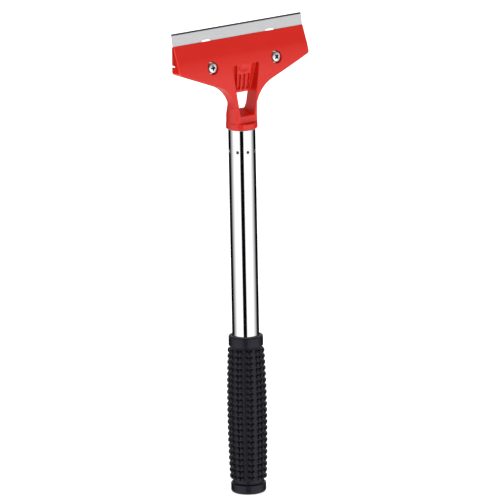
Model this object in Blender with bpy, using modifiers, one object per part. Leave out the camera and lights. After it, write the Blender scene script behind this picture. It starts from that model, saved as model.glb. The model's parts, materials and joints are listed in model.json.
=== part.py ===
"""Long-handled algae scraper for aquarium glass.

A steel blade lies in a rebate on the back of a moulded plastic head and is clamped there by a
back plate, two cross-recess screws, their washers and captive nuts. The head's spigot is crimped
into a plated steel tube, and a studded rubber grip covers the tube's lower end.

The frame: X runs along the blade, -Y is the front with the screw heads, +Z runs up the handle
towards the blade. The origin is the centre of the grip's butt. Lengths are in millimetres and
angles in degrees; they become metres where the meshes are made.
"""

import math

import bmesh
import bpy
from mathutils import Matrix, Vector

MM = 0.001
GAP = 0.3
THIN_GAP = 0.1

# Tube
TUBE_RADIUS = 8.0
TUBE_WALL = 1.0
TUBE_BOTTOM = 3.5
DIMPLE_COUNT = 8
DIMPLE_Z = 207.0
DIMPLE_PHASE = -16.0
DIMPLE_RADIUS = 1.6
DIMPLE_DEPTH = 0.55

# Head, side profile (Y, Z) and outline (X, Z)
SHOULDER_Z = 220.4
JAW_Z = 275.0
LIP_FRONT_Y = 0.95
CREASE_Y = -5.05
CREASE_Z = 259.1
NECK_FRONT_Y = -5.75
NECK_RADIUS = 9.06
NECK_FLAT_HALF = 7.0
NECK_RIM_RADIUS = 9.2
NECK_RIM_TOP_Z = 224.0
BACK_TOP_Y = 2.6
BACK_LOW_Y = 3.2
BACK_LOW_Z = 243.5
NECK_BACK_Y = 9.3
NECK_BACK_Z = 225.5
NECK_BACK_TOP_Z = 231.5
NECK_TOP_Z = 240.0
HEAD_HALF_WIDTH = 50.2
HEAD_END_Z = 258.8
WING_SLOPE = 20.5
WING_FILLET = 20.0
SPIGOT_RADIUS = 6.7
SPIGOT_BOTTOM = 198.5
CRIMP_GROOVE_DEPTH = 1.0
CRIMP_GROOVE_HALF = 2.6

# Window and thumb ramp in the front of the neck
RECESS_TOP_Z = 258.8
RECESS_TOP_HALF = 10.4
RECESS_LOW_Z = 228.3
RECESS_LOW_HALF = 5.3
WINDOW_TOP_Z = 242.0
WINDOW_SILL_BACK_Z = 230.9
RAMP_TOP_Y = -1.9
RAMP_LOW_Y = 0.3
TONGUE_TOP_HALF = 5.6
TONGUE_LOW_HALF = 4.8
TONGUE_RISE = 1.95
FLUTE_PITCH = 3.35
FLUTE_RADIUS = 1.1
FLUTE_SUNK = 0.3
FLUTE_TOP_Z = 252.4
FLUTE_LOW_Z = 244.2

# Blade and the plane it lies in
BLADE_TILT = 8.5
BLADE_LENGTH = 100.0
BLADE_HEIGHT = 18.0
BLADE_THICKNESS = 0.5
BLADE_EXPOSED = 7.28
BLADE_FRONT_Y = 1.55
EDGE_THICKNESS = 0.06
EDGE_BEVEL = 1.0
SLOT_WIDTH = 7.4
SLOT_HEIGHT = 3.2
SLOT_TOP_ABOVE_JAW = 0.8

# Clamp plate
SEAT_Y = 0.1
PLATE_SEAT_GAP = 0.25
PLATE_TOP_Z = 274.4
PLATE_END_Z = 263.9
PLATE_LOW_Z = 252.6
PLATE_LOW_HALF = 22.0
REBATE_BORDER = 0.8

# Screws, washers and nuts (M3)
SCREW_X = 24.6
SCREW_Z = 259.9
THREAD_RADIUS = 1.45
CLEARANCE_RADIUS = 1.75
COUNTERBORE_RADIUS = 3.9
HEAD_RADIUS = 3.0
HEAD_HEIGHT = 2.1
HEAD_SUNK = 0.4
UNDER_HEAD = 6.0
WASHER_RADIUS = 3.5
WASHER_THICKNESS = 0.45
NUT_FLATS = 5.5
NUT_HEIGHT = 1.8
CROSS_LENGTH = 3.4
CROSS_WIDTH = 0.75
CROSS_DEPTH = 1.2

# Grip
GRIP_TOP = 95.6
GRIP_BORE_GAP = 0.25
GRIP_FLOOR = 3.2
COLLAR_RADIUS = 10.25
COLLAR_BOTTOM = 89.4
GROOVE_RADIUS = 9.3
BARREL_TOP = 88.7
BARREL_LOW = 6.6
BARREL_MID = 49.0
BARREL_RADIUS = 11.7
BARREL_TAPER_UP = 1.05
BARREL_TAPER_DOWN = 0.95
RING_RADIUS = 10.45
RING_TOP = 5.9
BUTT_RADIUS = 7.4

PARTS = "algae_scraper"
CUTTERS = "cutters"


# ---------------------------------------------------------------- scene and materials

def start_scene():
    for old in list(bpy.data.objects):
        bpy.data.objects.remove(old, do_unlink=True)
    for name in (PARTS, CUTTERS):
        group = bpy.data.collections.get(name) or bpy.data.collections.new(name)
        if name not in bpy.context.scene.collection.children:
            bpy.context.scene.collection.children.link(group)


def material(name, colour, roughness, metallic=0.0):
    made = bpy.data.materials.new(name)
    made.use_nodes = True
    shader = made.node_tree.nodes["Principled BSDF"]
    shader.inputs["Base Color"].default_value = (*colour, 1.0)
    shader.inputs["Roughness"].default_value = roughness
    shader.inputs["Metallic"].default_value = metallic
    return made


def put(obj, group):
    for held in list(obj.users_collection):
        held.objects.unlink(obj)
    bpy.data.collections[group].objects.link(obj)
    obj.hide_render = group == CUTTERS
    obj.display_type = "WIRE" if group == CUTTERS else "TEXTURED"
    return obj


def finish(obj, name, finish_material):
    obj.name = name
    obj.data.name = name
    obj.data.materials.clear()
    obj.data.materials.append(finish_material)
    obj.data.shade_smooth()
    obj.data.set_sharp_from_angle(angle=math.radians(30.0))
    return put(obj, PARTS)


# ---------------------------------------------------------------- frames

def axes_matrix(x_axis, y_axis, z_axis, origin=(0.0, 0.0, 0.0)):
    """A frame with these world directions, its origin in millimetres."""
    turned = Matrix((x_axis, y_axis, z_axis)).transposed().to_4x4()
    return Matrix.Translation(Vector(origin) * MM) @ turned


SIDE_FRAME = axes_matrix((0, 1, 0), (0, 0, 1), (1, 0, 0))
FRONT_FRAME = axes_matrix((1, 0, 0), (0, 0, 1), (0, -1, 0))
TILT = math.radians(BLADE_TILT)
UP_BLADE = Vector((0.0, math.sin(TILT), math.cos(TILT)))
OUT_OF_BLADE = Vector((0.0, -math.cos(TILT), math.sin(TILT)))
BLADE_FRAME = axes_matrix((1, 0, 0), UP_BLADE, OUT_OF_BLADE, (0, BLADE_FRONT_Y, JAW_Z))


def front_face_y(z):
    """Y of the head's front at height z: the upper face above the crease, the lower one below."""
    if z > CREASE_Z:
        part = (z - CREASE_Z) / (JAW_Z - CREASE_Z)
        return CREASE_Y + (LIP_FRONT_Y - CREASE_Y) * part
    part = (CREASE_Z - z) / (CREASE_Z - SHOULDER_Z)
    return CREASE_Y + (NECK_FRONT_Y - CREASE_Y) * part


def back_face_y(z):
    return BACK_TOP_Y + (BACK_LOW_Y - BACK_TOP_Y) * (JAW_Z - z) / (JAW_Z - BACK_LOW_Z)


def blade_plane_y(z, behind=0.0):
    """Y of the plane this far behind the blade's front face."""
    return BLADE_FRONT_Y - (JAW_Z - z) * math.tan(TILT) + behind / math.cos(TILT)


def screw_frame(side):
    """At the head's surface on a screw's axis, with local +Z pointing out of the head."""
    return axes_matrix(
        (1, 0, 0), UP_BLADE, OUT_OF_BLADE, (side * SCREW_X, front_face_y(SCREW_Z), SCREW_Z)
    )


# ---------------------------------------------------------------- shapes

def arc_corner(before, corner, after, radius, steps=6):
    """Points of a rounded corner between two straight edges of an outline."""
    to_before = (Vector(before) - Vector(corner)).normalized()
    to_after = (Vector(after) - Vector(corner)).normalized()
    half = to_before.angle(to_after) / 2.0
    middle = (to_before + to_after).normalized()
    centre = Vector(corner) + middle * (radius / math.sin(half))
    start = Vector(corner) + to_before * (radius / math.tan(half)) - centre
    end = Vector(corner) + to_after * (radius / math.tan(half)) - centre
    return [
        tuple(centre + start.slerp(end, i / steps).normalized() * radius)
        for i in range(steps + 1)
    ]


def flat_solid(name, outline, depth, frame, offset=0.0):
    """An outline in a frame's XY plane, made this deep about the plane at offset."""
    curve = bpy.data.curves.new(name, "CURVE")
    curve.dimensions = "2D"
    curve.fill_mode = "BOTH"
    curve.extrude = depth / 2.0 * MM
    spline = curve.splines.new("POLY")
    spline.points.add(len(outline) - 1)
    for point, (x, y) in zip(spline.points, outline):
        point.co = (x * MM, y * MM, 0.0, 1.0)
    spline.use_cyclic_u = True
    drawn = bpy.data.objects.new(name + "_outline", curve)
    drawn.matrix_world = frame @ Matrix.Translation((0.0, 0.0, offset * MM))
    bpy.context.scene.collection.objects.link(drawn)
    bpy.context.view_layer.update()
    graph = bpy.context.evaluated_depsgraph_get()
    mesh = bpy.data.meshes.new_from_object(drawn.evaluated_get(graph))
    solid = bpy.data.objects.new(name, mesh)
    solid.matrix_world = drawn.matrix_world.copy()
    bpy.data.objects.remove(drawn, do_unlink=True)
    work = bmesh.new()
    work.from_mesh(mesh)
    bmesh.ops.remove_doubles(work, verts=work.verts, dist=1e-6)
    bmesh.ops.recalc_face_normals(work, faces=work.faces)
    work.to_mesh(mesh)
    work.free()
    return put(solid, CUTTERS)


def round_bar(name, radius, low, high, frame, sides=32):
    """A cylinder along a frame's Z axis."""
    bpy.ops.mesh.primitive_cylinder_add(
        vertices=sides, radius=radius * MM, depth=(high - low) * MM
    )
    bar = bpy.context.object
    bar.name = name
    bar.matrix_world = frame @ Matrix.Translation((0.0, 0.0, (low + high) / 2.0 * MM))
    return put(bar, CUTTERS)


def turned(name, profile, frame, steps=48):
    """A solid of revolution about a frame's Z axis; the profile (radius, z) runs top to bottom."""
    mesh = bpy.data.meshes.new(name)
    points = [(radius * MM, 0.0, z * MM) for radius, z in profile]
    edges = [(i, i + 1) for i in range(len(points) - 1)]
    if profile[0][0] > 0.0:
        edges.append((len(points) - 1, 0))
    mesh.from_pydata(points, edges, [])
    obj = bpy.data.objects.new(name, mesh)
    obj.matrix_world = frame
    bpy.context.scene.collection.objects.link(obj)
    screw = obj.modifiers.new("turn", "SCREW")
    screw.axis = "Z"
    screw.steps = steps
    screw.render_steps = steps
    screw.use_merge_vertices = True
    screw.merge_threshold = 1e-6
    return put(obj, CUTTERS)


def made_mesh(obj):
    """The object with its modifiers made part of its mesh."""
    bpy.context.view_layer.update()
    graph = bpy.context.evaluated_depsgraph_get()
    mesh = bpy.data.meshes.new_from_object(obj.evaluated_get(graph))
    obj.modifiers.clear()
    obj.data = mesh
    return obj


def combine(target, tools, operation):
    for tool in tools:
        step = target.modifiers.new(f"{operation.lower()}_{tool.name}", "BOOLEAN")
        step.operation = operation
        step.solver = "EXACT"
        step.object = tool
    return target


# ---------------------------------------------------------------- head

def head_outline():
    """Half-open wings above a fillet that runs down into the neck, drawn as one closed outline."""
    slope = math.tan(math.radians(WING_SLOPE))
    corner_z = HEAD_END_Z - (HEAD_HALF_WIDTH - NECK_FLAT_HALF) * slope
    low_z = SHOULDER_Z + 4.0
    end = (HEAD_HALF_WIDTH, HEAD_END_Z)
    corner = (NECK_FLAT_HALF, corner_z)
    foot = (NECK_FLAT_HALF, low_z)
    right = [(HEAD_HALF_WIDTH, JAW_Z), end, *arc_corner(end, corner, foot, WING_FILLET, 14), foot]
    left = [(-x, z) for x, z in reversed(right)]
    return right + left


def head_side_profile():
    return [
        (LIP_FRONT_Y, JAW_Z),
        (CREASE_Y, CREASE_Z),
        (NECK_FRONT_Y, SHOULDER_Z),
        (NECK_BACK_Y, SHOULDER_Z),
        (NECK_BACK_Y, NECK_BACK_Z),
        (BACK_LOW_Y, NECK_BACK_TOP_Z),
        (BACK_LOW_Y, BACK_LOW_Z),
        (BACK_TOP_Y, JAW_Z),
    ]


def plate_outline(border=0.0, overrun=0.0):
    """The clamp plate's front view, or with a border the rebate that holds it."""
    half = HEAD_HALF_WIDTH + overrun
    top = JAW_Z + overrun
    end = (half, PLATE_END_Z - border)
    low = (PLATE_LOW_HALF, PLATE_LOW_Z - border)
    right = [(half, top), end, *arc_corner(end, low, (0.0, low[1]), 4.0 + border, 5)]
    left = [(-x, z) for x, z in reversed(right)]
    return right + left


def rebate_cutter():
    """The hollow in the head's back: blade floor above its shelf, plate seat below it."""
    shelf_z = JAW_Z - (BLADE_HEIGHT - BLADE_EXPOSED) * math.cos(TILT) - GAP
    floor = flat_solid(
        "rebate_side",
        [
            (blade_plane_y(JAW_Z + 2.0, -THIN_GAP), JAW_Z + 2.0),
            (blade_plane_y(shelf_z, -THIN_GAP), shelf_z),
            (SEAT_Y, shelf_z),
            (SEAT_Y, PLATE_LOW_Z - 5.0),
            (14.0, PLATE_LOW_Z - 5.0),
            (14.0, JAW_Z + 2.0),
        ],
        120.0,
        SIDE_FRAME,
    )
    front = flat_solid("rebate_front", plate_outline(REBATE_BORDER, 1.5), 60.0, FRONT_FRAME)
    return made_mesh(combine(floor, [front], "INTERSECT"))


def trapezoid(name, top_z, top_half, low_z, low_half):
    outline = [(top_half, top_z), (low_half, low_z), (-low_half, low_z), (-top_half, top_z)]
    return flat_solid(name, outline, 60.0, FRONT_FRAME)


def window_cutter():
    """The tapered recess in the neck: a sloping floor above, an open window below."""
    side = flat_solid(
        "window_side",
        [
            (-9.0, RECESS_TOP_Z),
            (RAMP_TOP_Y, RECESS_TOP_Z),
            (RAMP_LOW_Y, WINDOW_TOP_Z),
            (12.0, WINDOW_TOP_Z),
            (12.0, WINDOW_SILL_BACK_Z + 1.0),
            (BACK_LOW_Y, WINDOW_SILL_BACK_Z),
            (NECK_FRONT_Y, RECESS_LOW_Z),
            (-9.0, RECESS_LOW_Z - 1.0),
        ],
        60.0,
        SIDE_FRAME,
    )
    taper = (RECESS_TOP_HALF - RECESS_LOW_HALF) / (RECESS_TOP_Z - RECESS_LOW_Z)
    low_z = RECESS_LOW_Z - 2.0
    front = trapezoid(
        "window_front", RECESS_TOP_Z, RECESS_TOP_HALF, low_z, RECESS_LOW_HALF - 2.0 * taper
    )
    return made_mesh(combine(side, [front], "INTERSECT"))


def tongue():
    """The raised thumb ramp in the recess: a hollow scoop at its top, three flutes below."""
    slope = (RAMP_LOW_Y - RAMP_TOP_Y) / (RECESS_TOP_Z - WINDOW_TOP_Z)

    def surface(z):
        return RAMP_TOP_Y + (RECESS_TOP_Z - z) * slope - TONGUE_RISE

    scoop_top = RECESS_TOP_Z + 0.4
    scoop_low = 253.8
    scoop = []
    for i in range(9):
        z = scoop_top + (scoop_low - scoop_top) * i / 8
        scoop.append((surface(z) + 0.8 * math.sin(math.pi * i / 8) ** 2, z))
    side = flat_solid(
        "tongue_side",
        [
            *scoop,
            (surface(WINDOW_TOP_Z), WINDOW_TOP_Z),
            (RAMP_LOW_Y + 0.6, WINDOW_TOP_Z),
            (RAMP_TOP_Y + 0.6, scoop_top),
        ],
        30.0,
        SIDE_FRAME,
    )
    front = trapezoid(
        "tongue_front", scoop_top + 1.0, TONGUE_TOP_HALF, WINDOW_TOP_Z - 1.0, TONGUE_LOW_HALF
    )
    lean = math.atan(slope)
    along = Vector((0.0, -math.sin(lean), math.cos(lean)))
    across = Vector((1.0, 0.0, 0.0))
    flutes = []
    for i in (-1, 0, 1):
        foot = (i * FLUTE_PITCH, surface(FLUTE_LOW_Z) + FLUTE_SUNK, FLUTE_LOW_Z)
        frame = axes_matrix(across, along.cross(across), along, foot)
        length = (FLUTE_TOP_Z - FLUTE_LOW_Z) / math.cos(lean)
        flutes.append(round_bar(f"flute_{i + 1}", FLUTE_RADIUS, 0.0, length, frame, 12))
    return made_mesh(combine(combine(side, [front], "INTERSECT"), flutes, "DIFFERENCE"))


def spigot():
    """The head's stem inside the tube, with the groove that the crimp dimples press into."""
    r = SPIGOT_RADIUS
    z = DIMPLE_Z
    half = CRIMP_GROOVE_HALF
    depth = CRIMP_GROOVE_DEPTH
    profile = [
        (0.0, SHOULDER_Z + 1.5),
        (r, SHOULDER_Z + 1.5),
        (r, z + half),
        (r - depth, z + half - depth),
        (r - depth, z - half + depth),
        (r, z - half),
        (r, SPIGOT_BOTTOM + 1.0),
        (r - 1.0, SPIGOT_BOTTOM),
        (0.0, SPIGOT_BOTTOM),
    ]
    return made_mesh(turned("spigot", profile, Matrix.Identity(4), 32))


def build_head(red):
    slab_back = BACK_LOW_Y + 0.05
    slab_front = -12.0
    slab = flat_solid(
        "head_slab",
        head_outline(),
        slab_back - slab_front,
        FRONT_FRAME,
        -(slab_back + slab_front) / 2.0,
    )
    neck = round_bar("neck", NECK_RADIUS, SHOULDER_Z, NECK_TOP_Z, Matrix.Identity(4), 56)
    side = flat_solid("head_side", head_side_profile(), 140.0, SIDE_FRAME)
    body = made_mesh(combine(combine(slab, [neck], "UNION"), [side], "INTERSECT"))
    cuts = [rebate_cutter(), window_cutter()]
    for label, sign in (("left", -1), ("right", 1)):
        seat = -(HEAD_SUNK + HEAD_HEIGHT + WASHER_THICKNESS + 2 * THIN_GAP)
        frame = screw_frame(sign)
        cuts.append(round_bar(f"counterbore_{label}", COUNTERBORE_RADIUS, seat, 6.0, frame, 28))
        cuts.append(round_bar(f"screw_hole_{label}", CLEARANCE_RADIUS, -12.0, 6.0, frame, 16))
    combine(body, cuts, "DIFFERENCE")
    rim = round_bar(
        "neck_rim", NECK_RIM_RADIUS, SHOULDER_Z, NECK_RIM_TOP_Z, Matrix.Identity(4), 56
    )
    combine(body, [tongue(), spigot(), rim], "UNION")
    return finish(made_mesh(body), "head_body", red)


# ---------------------------------------------------------------- clamp plate and blade

def build_clamp_plate(red):
    shelf_z = JAW_Z - (BLADE_HEIGHT - BLADE_EXPOSED) * math.cos(TILT)
    grip_line = BLADE_THICKNESS + THIN_GAP
    seat_y = SEAT_Y + PLATE_SEAT_GAP
    knee_z = shelf_z
    while blade_plane_y(knee_z, grip_line) > seat_y:
        knee_z -= 0.05
    side = flat_solid(
        "plate_side",
        [
            (back_face_y(PLATE_TOP_Z), PLATE_TOP_Z),
            (blade_plane_y(PLATE_TOP_Z, grip_line), PLATE_TOP_Z),
            (seat_y, knee_z),
            (seat_y, PLATE_LOW_Z - 2.0),
            (back_face_y(PLATE_LOW_Z - 2.0), PLATE_LOW_Z - 2.0),
        ],
        2.0 * HEAD_HALF_WIDTH + 4.0,
        SIDE_FRAME,
    )
    front = flat_solid("plate_front", plate_outline(), 40.0, FRONT_FRAME)
    cuts = []
    for label, sign in (("left", -1), ("right", 1)):
        frame = screw_frame(sign)
        cuts.append(round_bar(f"plate_hole_{label}", CLEARANCE_RADIUS, -14.0, 2.0, frame, 16))
        pocket = NUT_FLATS / math.sqrt(3.0) + 0.2
        top = nut_top() + THIN_GAP
        cuts.append(round_bar(f"nut_pocket_{label}", pocket, -14.0, top, frame, 6))
    plate = combine(combine(side, [front], "INTERSECT"), cuts, "DIFFERENCE")
    return finish(made_mesh(plate), "clamp_plate", red)


def build_blade(steel):
    low = BLADE_EXPOSED - BLADE_HEIGHT
    section_frame = axes_matrix(-OUT_OF_BLADE, UP_BLADE, (1, 0, 0), (0, BLADE_FRONT_Y, JAW_Z))
    blade = flat_solid(
        "blade_section",
        [
            (0.0, low),
            (BLADE_THICKNESS, low),
            (BLADE_THICKNESS, BLADE_EXPOSED),
            (BLADE_THICKNESS - EDGE_THICKNESS, BLADE_EXPOSED),
            (0.0, BLADE_EXPOSED - EDGE_BEVEL),
        ],
        BLADE_LENGTH,
        section_frame,
    )
    r = SLOT_HEIGHT / 2.0
    reach = SLOT_WIDTH / 2.0 - r
    slots = []
    for label, sign in (("left", -1), ("right", 1)):
        outline = []
        for i in range(13):
            turn = -math.pi / 2 + math.pi * i / 12
            outline.append((reach + r * math.cos(turn), r * math.sin(turn)))
        outline += [(-x, -y) for x, y in outline]
        middle = SLOT_TOP_ABOVE_JAW - r
        placed = [(sign * SCREW_X + x, middle + y) for x, y in outline]
        slots.append(flat_solid(f"blade_slot_{label}", placed, 6.0, BLADE_FRAME))
    return finish(made_mesh(combine(blade, slots, "DIFFERENCE")), "blade", steel)


# ---------------------------------------------------------------- fasteners

def nut_top():
    """Height of a nut's front face in its screw's frame, measured from the head's surface."""
    axis_z = SCREW_Z
    for _ in range(4):
        depth = (back_face_y(axis_z) - front_face_y(SCREW_Z)) / math.cos(TILT)
        axis_z = SCREW_Z - depth * math.sin(TILT)
    return -depth + NUT_HEIGHT + 0.2


def build_screw(label, sign, steel):
    head_top = -HEAD_SUNK
    under = head_top - HEAD_HEIGHT
    tip = under - UNDER_HEAD
    crown = [
        (HEAD_RADIUS * math.sin(t), head_top - 0.9 + 0.9 * math.cos(t))
        for t in (math.radians(90.0 * i / 6) for i in range(7))
    ]
    profile = [
        *crown,
        (HEAD_RADIUS, under),
        (THREAD_RADIUS, under),
        (THREAD_RADIUS, tip + 0.4),
        (THREAD_RADIUS - 0.4, tip),
        (0.0, tip),
    ]
    screw = made_mesh(turned(f"screw_{label}_solid", profile, screw_frame(sign), 32))
    arms = []
    for i, turn in enumerate((0.0, math.pi / 2)):
        half, wide = CROSS_LENGTH / 2.0, CROSS_WIDTH / 2.0
        outline = [(-half, -wide), (half, -wide), (half, wide), (-half, wide)]
        frame = screw_frame(sign) @ Matrix.Rotation(turn, 4, "Z")
        arms.append(
            flat_solid(f"cross_{label}_{i}", outline, 2.0 * CROSS_DEPTH, frame, head_top)
        )
    combine(screw, arms, "DIFFERENCE")
    return finish(made_mesh(screw), f"screw_{label}", steel)


def build_washer(label, sign, steel):
    top = -(HEAD_SUNK + HEAD_HEIGHT + THIN_GAP)
    low = top - WASHER_THICKNESS
    bore = THREAD_RADIUS + 0.15
    profile = [(WASHER_RADIUS, top), (WASHER_RADIUS, low), (bore, low), (bore, top)]
    washer = made_mesh(turned(f"washer_{label}_solid", profile, screw_frame(sign), 32))
    return finish(washer, f"washer_{label}", steel)


def build_nut(label, sign, brass):
    top = nut_top()
    frame = screw_frame(sign)
    radius = NUT_FLATS / math.sqrt(3.0)
    nut = round_bar(f"nut_{label}_solid", radius, top - NUT_HEIGHT, top, frame, 6)
    bore = round_bar(f"nut_bore_{label}", THREAD_RADIUS + 0.1, top - 4.0, top + 4.0, frame, 24)
    return finish(made_mesh(combine(nut, [bore], "DIFFERENCE")), f"nut_{label}", brass)


# ---------------------------------------------------------------- handle

def build_tube(chrome):
    top = SHOULDER_Z - GAP
    inner = TUBE_RADIUS - TUBE_WALL
    profile = [
        (inner + 0.3, top),
        (TUBE_RADIUS - 0.3, top),
        (TUBE_RADIUS, top - 0.3),
        (TUBE_RADIUS, TUBE_BOTTOM + 0.3),
        (TUBE_RADIUS - 0.3, TUBE_BOTTOM),
        (inner, TUBE_BOTTOM),
        (inner, top - 0.3),
    ]
    tube = made_mesh(turned("tube_solid", profile, Matrix.Identity(4), 64))
    dimples = []
    for i in range(DIMPLE_COUNT):
        turn = math.radians(DIMPLE_PHASE + 360.0 * i / DIMPLE_COUNT)
        reach = TUBE_RADIUS - DIMPLE_DEPTH + DIMPLE_RADIUS
        bpy.ops.mesh.primitive_uv_sphere_add(
            segments=12,
            ring_count=8,
            radius=DIMPLE_RADIUS * MM,
            location=(
                reach * math.sin(turn) * MM,
                -reach * math.cos(turn) * MM,
                DIMPLE_Z * MM,
            ),
        )
        ball = bpy.context.object
        ball.name = f"dimple_{i}"
        dimples.append(put(ball, CUTTERS))
    return finish(made_mesh(combine(tube, dimples, "DIFFERENCE")), "tube", chrome)


def barrel_radius(z):
    """The grip swells towards its middle."""
    if z > BARREL_MID:
        part = (z - BARREL_MID) / (BARREL_TOP - BARREL_MID)
        return BARREL_RADIUS - BARREL_TAPER_UP * part**2
    part = (BARREL_MID - z) / (BARREL_MID - BARREL_LOW)
    return BARREL_RADIUS - BARREL_TAPER_DOWN * part**2


def build_grip(rubber):
    bore = TUBE_RADIUS + GRIP_BORE_GAP
    barrel = [
        (barrel_radius(z), z)
        for z in (BARREL_TOP + (BARREL_LOW - BARREL_TOP) * i / 14 for i in range(15))
    ]
    profile = [
        (bore + 0.4, GRIP_TOP),
        (COLLAR_RADIUS - 0.8, GRIP_TOP),
        (COLLAR_RADIUS, GRIP_TOP - 0.8),
        (COLLAR_RADIUS, COLLAR_BOTTOM + 0.6),
        (COLLAR_RADIUS - 0.5, COLLAR_BOTTOM),
        (GROOVE_RADIUS, COLLAR_BOTTOM),
        *barrel,
        (RING_RADIUS - 0.4, RING_TOP),
        (RING_RADIUS, RING_TOP - 0.5),
        (RING_RADIUS, 2.6),
        (RING_RADIUS - 0.9, 1.0),
        (BUTT_RADIUS, 0.0),
        (0.0, 0.0),
    ]
    outside = made_mesh(turned("grip_solid", [(0.0, GRIP_TOP), *profile], Matrix.Identity(4), 48))
    hollow = round_bar("grip_bore", bore, GRIP_FLOOR, GRIP_TOP + 5.0, Matrix.Identity(4), 48)
    return finish(made_mesh(combine(outside, [hollow], "DIFFERENCE")), "grip", rubber)


# ---------------------------------------------------------------- the whole object

def hinge_origin(obj, frame):
    """Moves an object's origin and axes to its joint's frame, leaving its shape in place."""
    obj.data.transform(frame.inverted() @ obj.matrix_world)
    obj.matrix_world = frame


def main():
    start_scene()
    red = material("red_plastic", (0.62, 0.03, 0.02), 0.28)
    steel = material("blade_steel", (0.72, 0.73, 0.74), 0.32, 1.0)
    fastener = material("stainless", (0.78, 0.78, 0.80), 0.22, 1.0)
    brass = material("brass", (0.78, 0.60, 0.28), 0.30, 1.0)
    chrome = material("chrome_plate", (0.86, 0.87, 0.88), 0.06, 1.0)
    rubber = material("black_rubber", (0.02, 0.02, 0.025), 0.62)

    head = build_head(red)
    plate = build_clamp_plate(red)
    blade = build_blade(steel)
    hinge_origin(blade, BLADE_FRAME)
    hinge_origin(plate, BLADE_FRAME)
    build_tube(chrome)
    build_grip(rubber)
    for label, sign in (("left", -1), ("right", 1)):
        hinge_origin(build_screw(label, sign, fastener), screw_frame(sign))
        build_washer(label, sign, fastener)
        hinge_origin(build_nut(label, sign, brass), screw_frame(sign))
    bpy.context.view_layer.update()
    print("built", head.name, "and", len(bpy.data.collections[PARTS].objects) - 1, "other parts")


main()
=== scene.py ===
"""Looks of the algae scraper: fine meshes, procedural materials, light and camera.

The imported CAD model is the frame. Shapes are worked out in its millimetres, in the same axes: X along
the blade, -Y the front with the screws, +Z up the handle. Moulded and machined pieces are written as
distance fields, which give true fillets, and net() meshes them. Turned pieces are rings about the handle.
"""

import json
import math

import bpy
import numpy as np
from mathutils import Matrix, Vector

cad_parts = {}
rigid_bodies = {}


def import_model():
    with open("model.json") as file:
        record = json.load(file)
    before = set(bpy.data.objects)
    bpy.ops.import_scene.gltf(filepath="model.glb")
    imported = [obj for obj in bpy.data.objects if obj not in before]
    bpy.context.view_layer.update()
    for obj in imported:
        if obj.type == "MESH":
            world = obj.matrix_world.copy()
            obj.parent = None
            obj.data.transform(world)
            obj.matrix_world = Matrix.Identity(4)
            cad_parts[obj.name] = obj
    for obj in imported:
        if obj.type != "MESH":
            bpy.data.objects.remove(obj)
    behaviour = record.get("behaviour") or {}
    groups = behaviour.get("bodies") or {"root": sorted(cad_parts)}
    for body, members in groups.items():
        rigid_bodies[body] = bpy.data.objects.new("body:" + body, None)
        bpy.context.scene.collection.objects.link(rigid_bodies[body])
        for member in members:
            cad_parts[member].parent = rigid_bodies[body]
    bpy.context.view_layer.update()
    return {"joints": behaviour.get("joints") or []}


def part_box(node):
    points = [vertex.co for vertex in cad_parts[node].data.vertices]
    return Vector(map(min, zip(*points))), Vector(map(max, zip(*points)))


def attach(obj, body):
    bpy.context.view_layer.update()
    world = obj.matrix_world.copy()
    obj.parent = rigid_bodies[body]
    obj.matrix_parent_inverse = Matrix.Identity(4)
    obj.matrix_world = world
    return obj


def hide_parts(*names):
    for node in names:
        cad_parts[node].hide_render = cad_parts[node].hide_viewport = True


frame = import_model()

MM = 0.001


# ---------------------------------------------------------------- sizes read from the frame

def box_mm(node):
    low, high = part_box(node)
    return np.array(low) / MM, np.array(high) / MM


joints = {joint["name"]: joint for joint in frame["joints"]}
OUT = np.array(joints["screw_left_turn"]["axis"])
UP = np.array(joints["blade_slide"]["axis"])
SCREWS = {
    "left": np.array(joints["screw_left_turn"]["pos_m"]) / MM,
    "right": np.array(joints["screw_right_turn"]["pos_m"]) / MM,
}
head_low, head_high = box_mm("head_body")
plate_low, plate_high = box_mm("clamp_plate")
blade_low, blade_high = box_mm("blade")
tube_low, tube_high = box_mm("tube")
grip_high = box_mm("grip")[1]

HALF_WIDTH = head_high[0]
JAW_Z = head_high[2]
SPIGOT_LOW = head_low[2]
TUBE_RADIUS = tube_high[0]
SHOULDER_Z = tube_high[2] + 0.3


# ---------------------------------------------------------------- distance-field tools

def clamp0(value):
    return np.maximum(value, 0.0)


def meet(a, b, r):
    """Intersection of two solids with its edge rounded to radius r."""
    corner = np.hypot(clamp0(a + r), clamp0(b + r))
    return np.minimum(np.maximum(a, b), -r) + corner


def join(a, b, r):
    """Union of two solids with a fillet of radius r where they meet."""
    corner = np.hypot(clamp0(r - a), clamp0(r - b))
    return np.maximum(np.minimum(a, b), r) - corner


def cut(a, b, r):
    return meet(a, -b, r)


def side_of(u, v, start, end):
    """Distance from the line start to end in a plane, positive on its left."""
    du, dv = end[0] - start[0], end[1] - start[1]
    return ((v - start[1]) * du - (u - start[0]) * dv) / math.hypot(du, dv)


def gradient(field, points, reach=0.02):
    slope = np.empty_like(points)
    for axis in range(3):
        ahead, behind = points.copy(), points.copy()
        ahead[:, axis] += reach
        behind[:, axis] -= reach
        slope[:, axis] = (field(*ahead.T) - field(*behind.T)) / (2.0 * reach)
    return slope


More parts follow.
